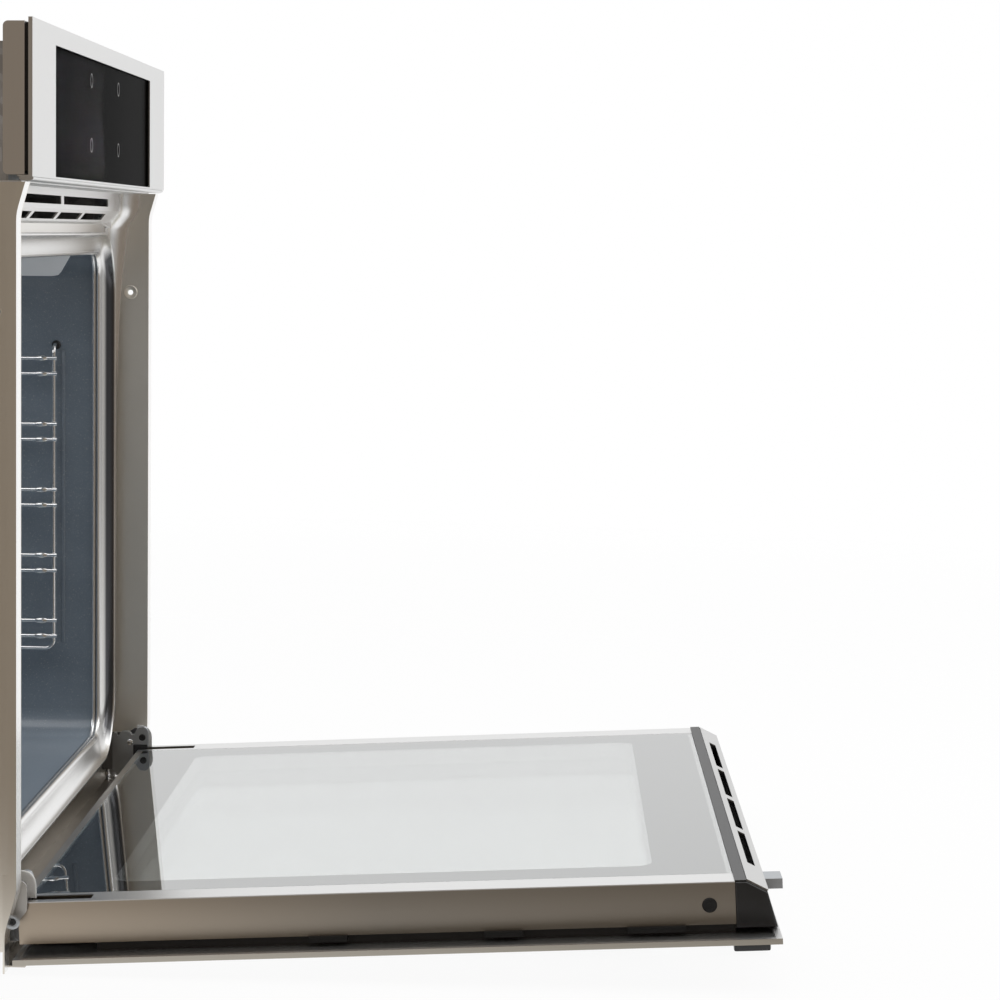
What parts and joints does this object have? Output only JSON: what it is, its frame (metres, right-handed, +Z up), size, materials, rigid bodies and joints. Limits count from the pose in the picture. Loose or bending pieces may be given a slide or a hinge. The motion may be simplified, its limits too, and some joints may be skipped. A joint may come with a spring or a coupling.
{
  "type": "single wall oven",
  "caption": "Built-in single wall oven with a drop-down glass door, touch control panel, convection fan, wire rack ladders and cooling blower.",
  "frame": {"origin": "middle of the casing's base, where it rests on the cabinet's shelf", "axes": "+Z up, -Y out of the oven's front, +X to the right of someone facing the front"},
  "size_m": [0.756, 1.2016, 0.737],
  "materials": {
    "stainless": "brushed, vertical grain",
    "trim_steel": "satin sheet steel",
    "galvanised": "galvanised sheet",
    "enamel": "gloss blue-grey enamel",
    "black_plastic": "satin moulded",
    "display_black": "polished black glass",
    "window_glass": "clear coated glass",
    "chrome_wire": "bright plated wire",
    "heater": "oxidised tube",
    "gasket": "metal-braided glass fibre",
    "wool": "mineral wool",
    "hinge_steel": "dark plated steel",
    "board": "circuit board",
    "motor": "pressed steel"
  },
  "bodies": {
    "chassis": {"air_duct": "galvanised", "bake_element": "heater", "base_pan": "galvanised", "blower_housing": "galvanised", "blower_motor": "motor", "bottom_trim": "trim_steel", "broil_element": "heater", "cavity_liner": "enamel", "conduit_bushing": "galvanised", "control_board": "board", "control_fascia": "stainless", "control_housing": "trim_steel", "control_spacer": "black_plastic", "cooling_deck": "galvanised", "display_glass": "display_black", "door_gasket": "gasket", "fan_cover": "enamel", "fan_motor": "motor", "front_bulkhead": "galvanised", "hinge_arm_left": "hinge_steel", "hinge_arm_right": "hinge_steel", "hinge_receiver_left": "hinge_steel", "hinge_receiver_right": "hinge_steel", "insulation": "wool", "junction_box": "galvanised", "ladder_left": "chrome_wire", "ladder_right": "chrome_wire", "lamp_lens": "window_glass", "lamp_socket": "motor", "mouth_frame": "trim_steel", "mouth_screws": "trim_steel", "rear_panel": "galvanised", "ring_element": "heater", "side_panel_left": "galvanised", "side_panel_right": "galvanised", "side_trim_left": "trim_steel", "side_trim_right": "trim_steel", "temperature_probe": "chrome_wire", "top_cover": "galvanised", "vent_grille": "trim_steel"},
    "door": {"door_bottom_rail": "trim_steel", "door_carrier": "black_plastic", "door_clips": "black_plastic", "door_hinge_left": "hinge_steel", "door_hinge_right": "hinge_steel", "door_side_left": "trim_steel", "door_side_right": "trim_steel", "door_skin": "stainless", "door_top_rail": "black_plastic", "handle_bar": "stainless", "handle_posts": "stainless", "hinge_pins": "hinge_steel", "inner_glass": "window_glass", "latch_tab": "hinge_steel", "middle_glass": "window_glass", "outer_glass": "window_glass", "vent_strip": "stainless"},
    "convection_fan": {"convection_fan": "hinge_steel"},
    "blower_wheel": {"blower_wheel": "black_plastic"}
  },
  "joints": [
    {"name": "door_hinge", "type": "hinge", "parent": "chassis", "child": "door", "pos_m": [0, -0.3177, 0.0088], "axis": [-1, 0, 0], "range_deg": [0, 87.1]},
    {"name": "convection_fan_spin", "type": "hinge", "parent": "chassis", "child": "convection_fan", "pos_m": [0, 0.1932, 0.297], "axis": [0, 1, 0], "continuous": true},
    {"name": "blower_spin", "type": "hinge", "parent": "chassis", "child": "blower_wheel", "pos_m": [0, -0.092, 0.6004], "axis": [1, 0, 0], "continuous": true}
  ]
}
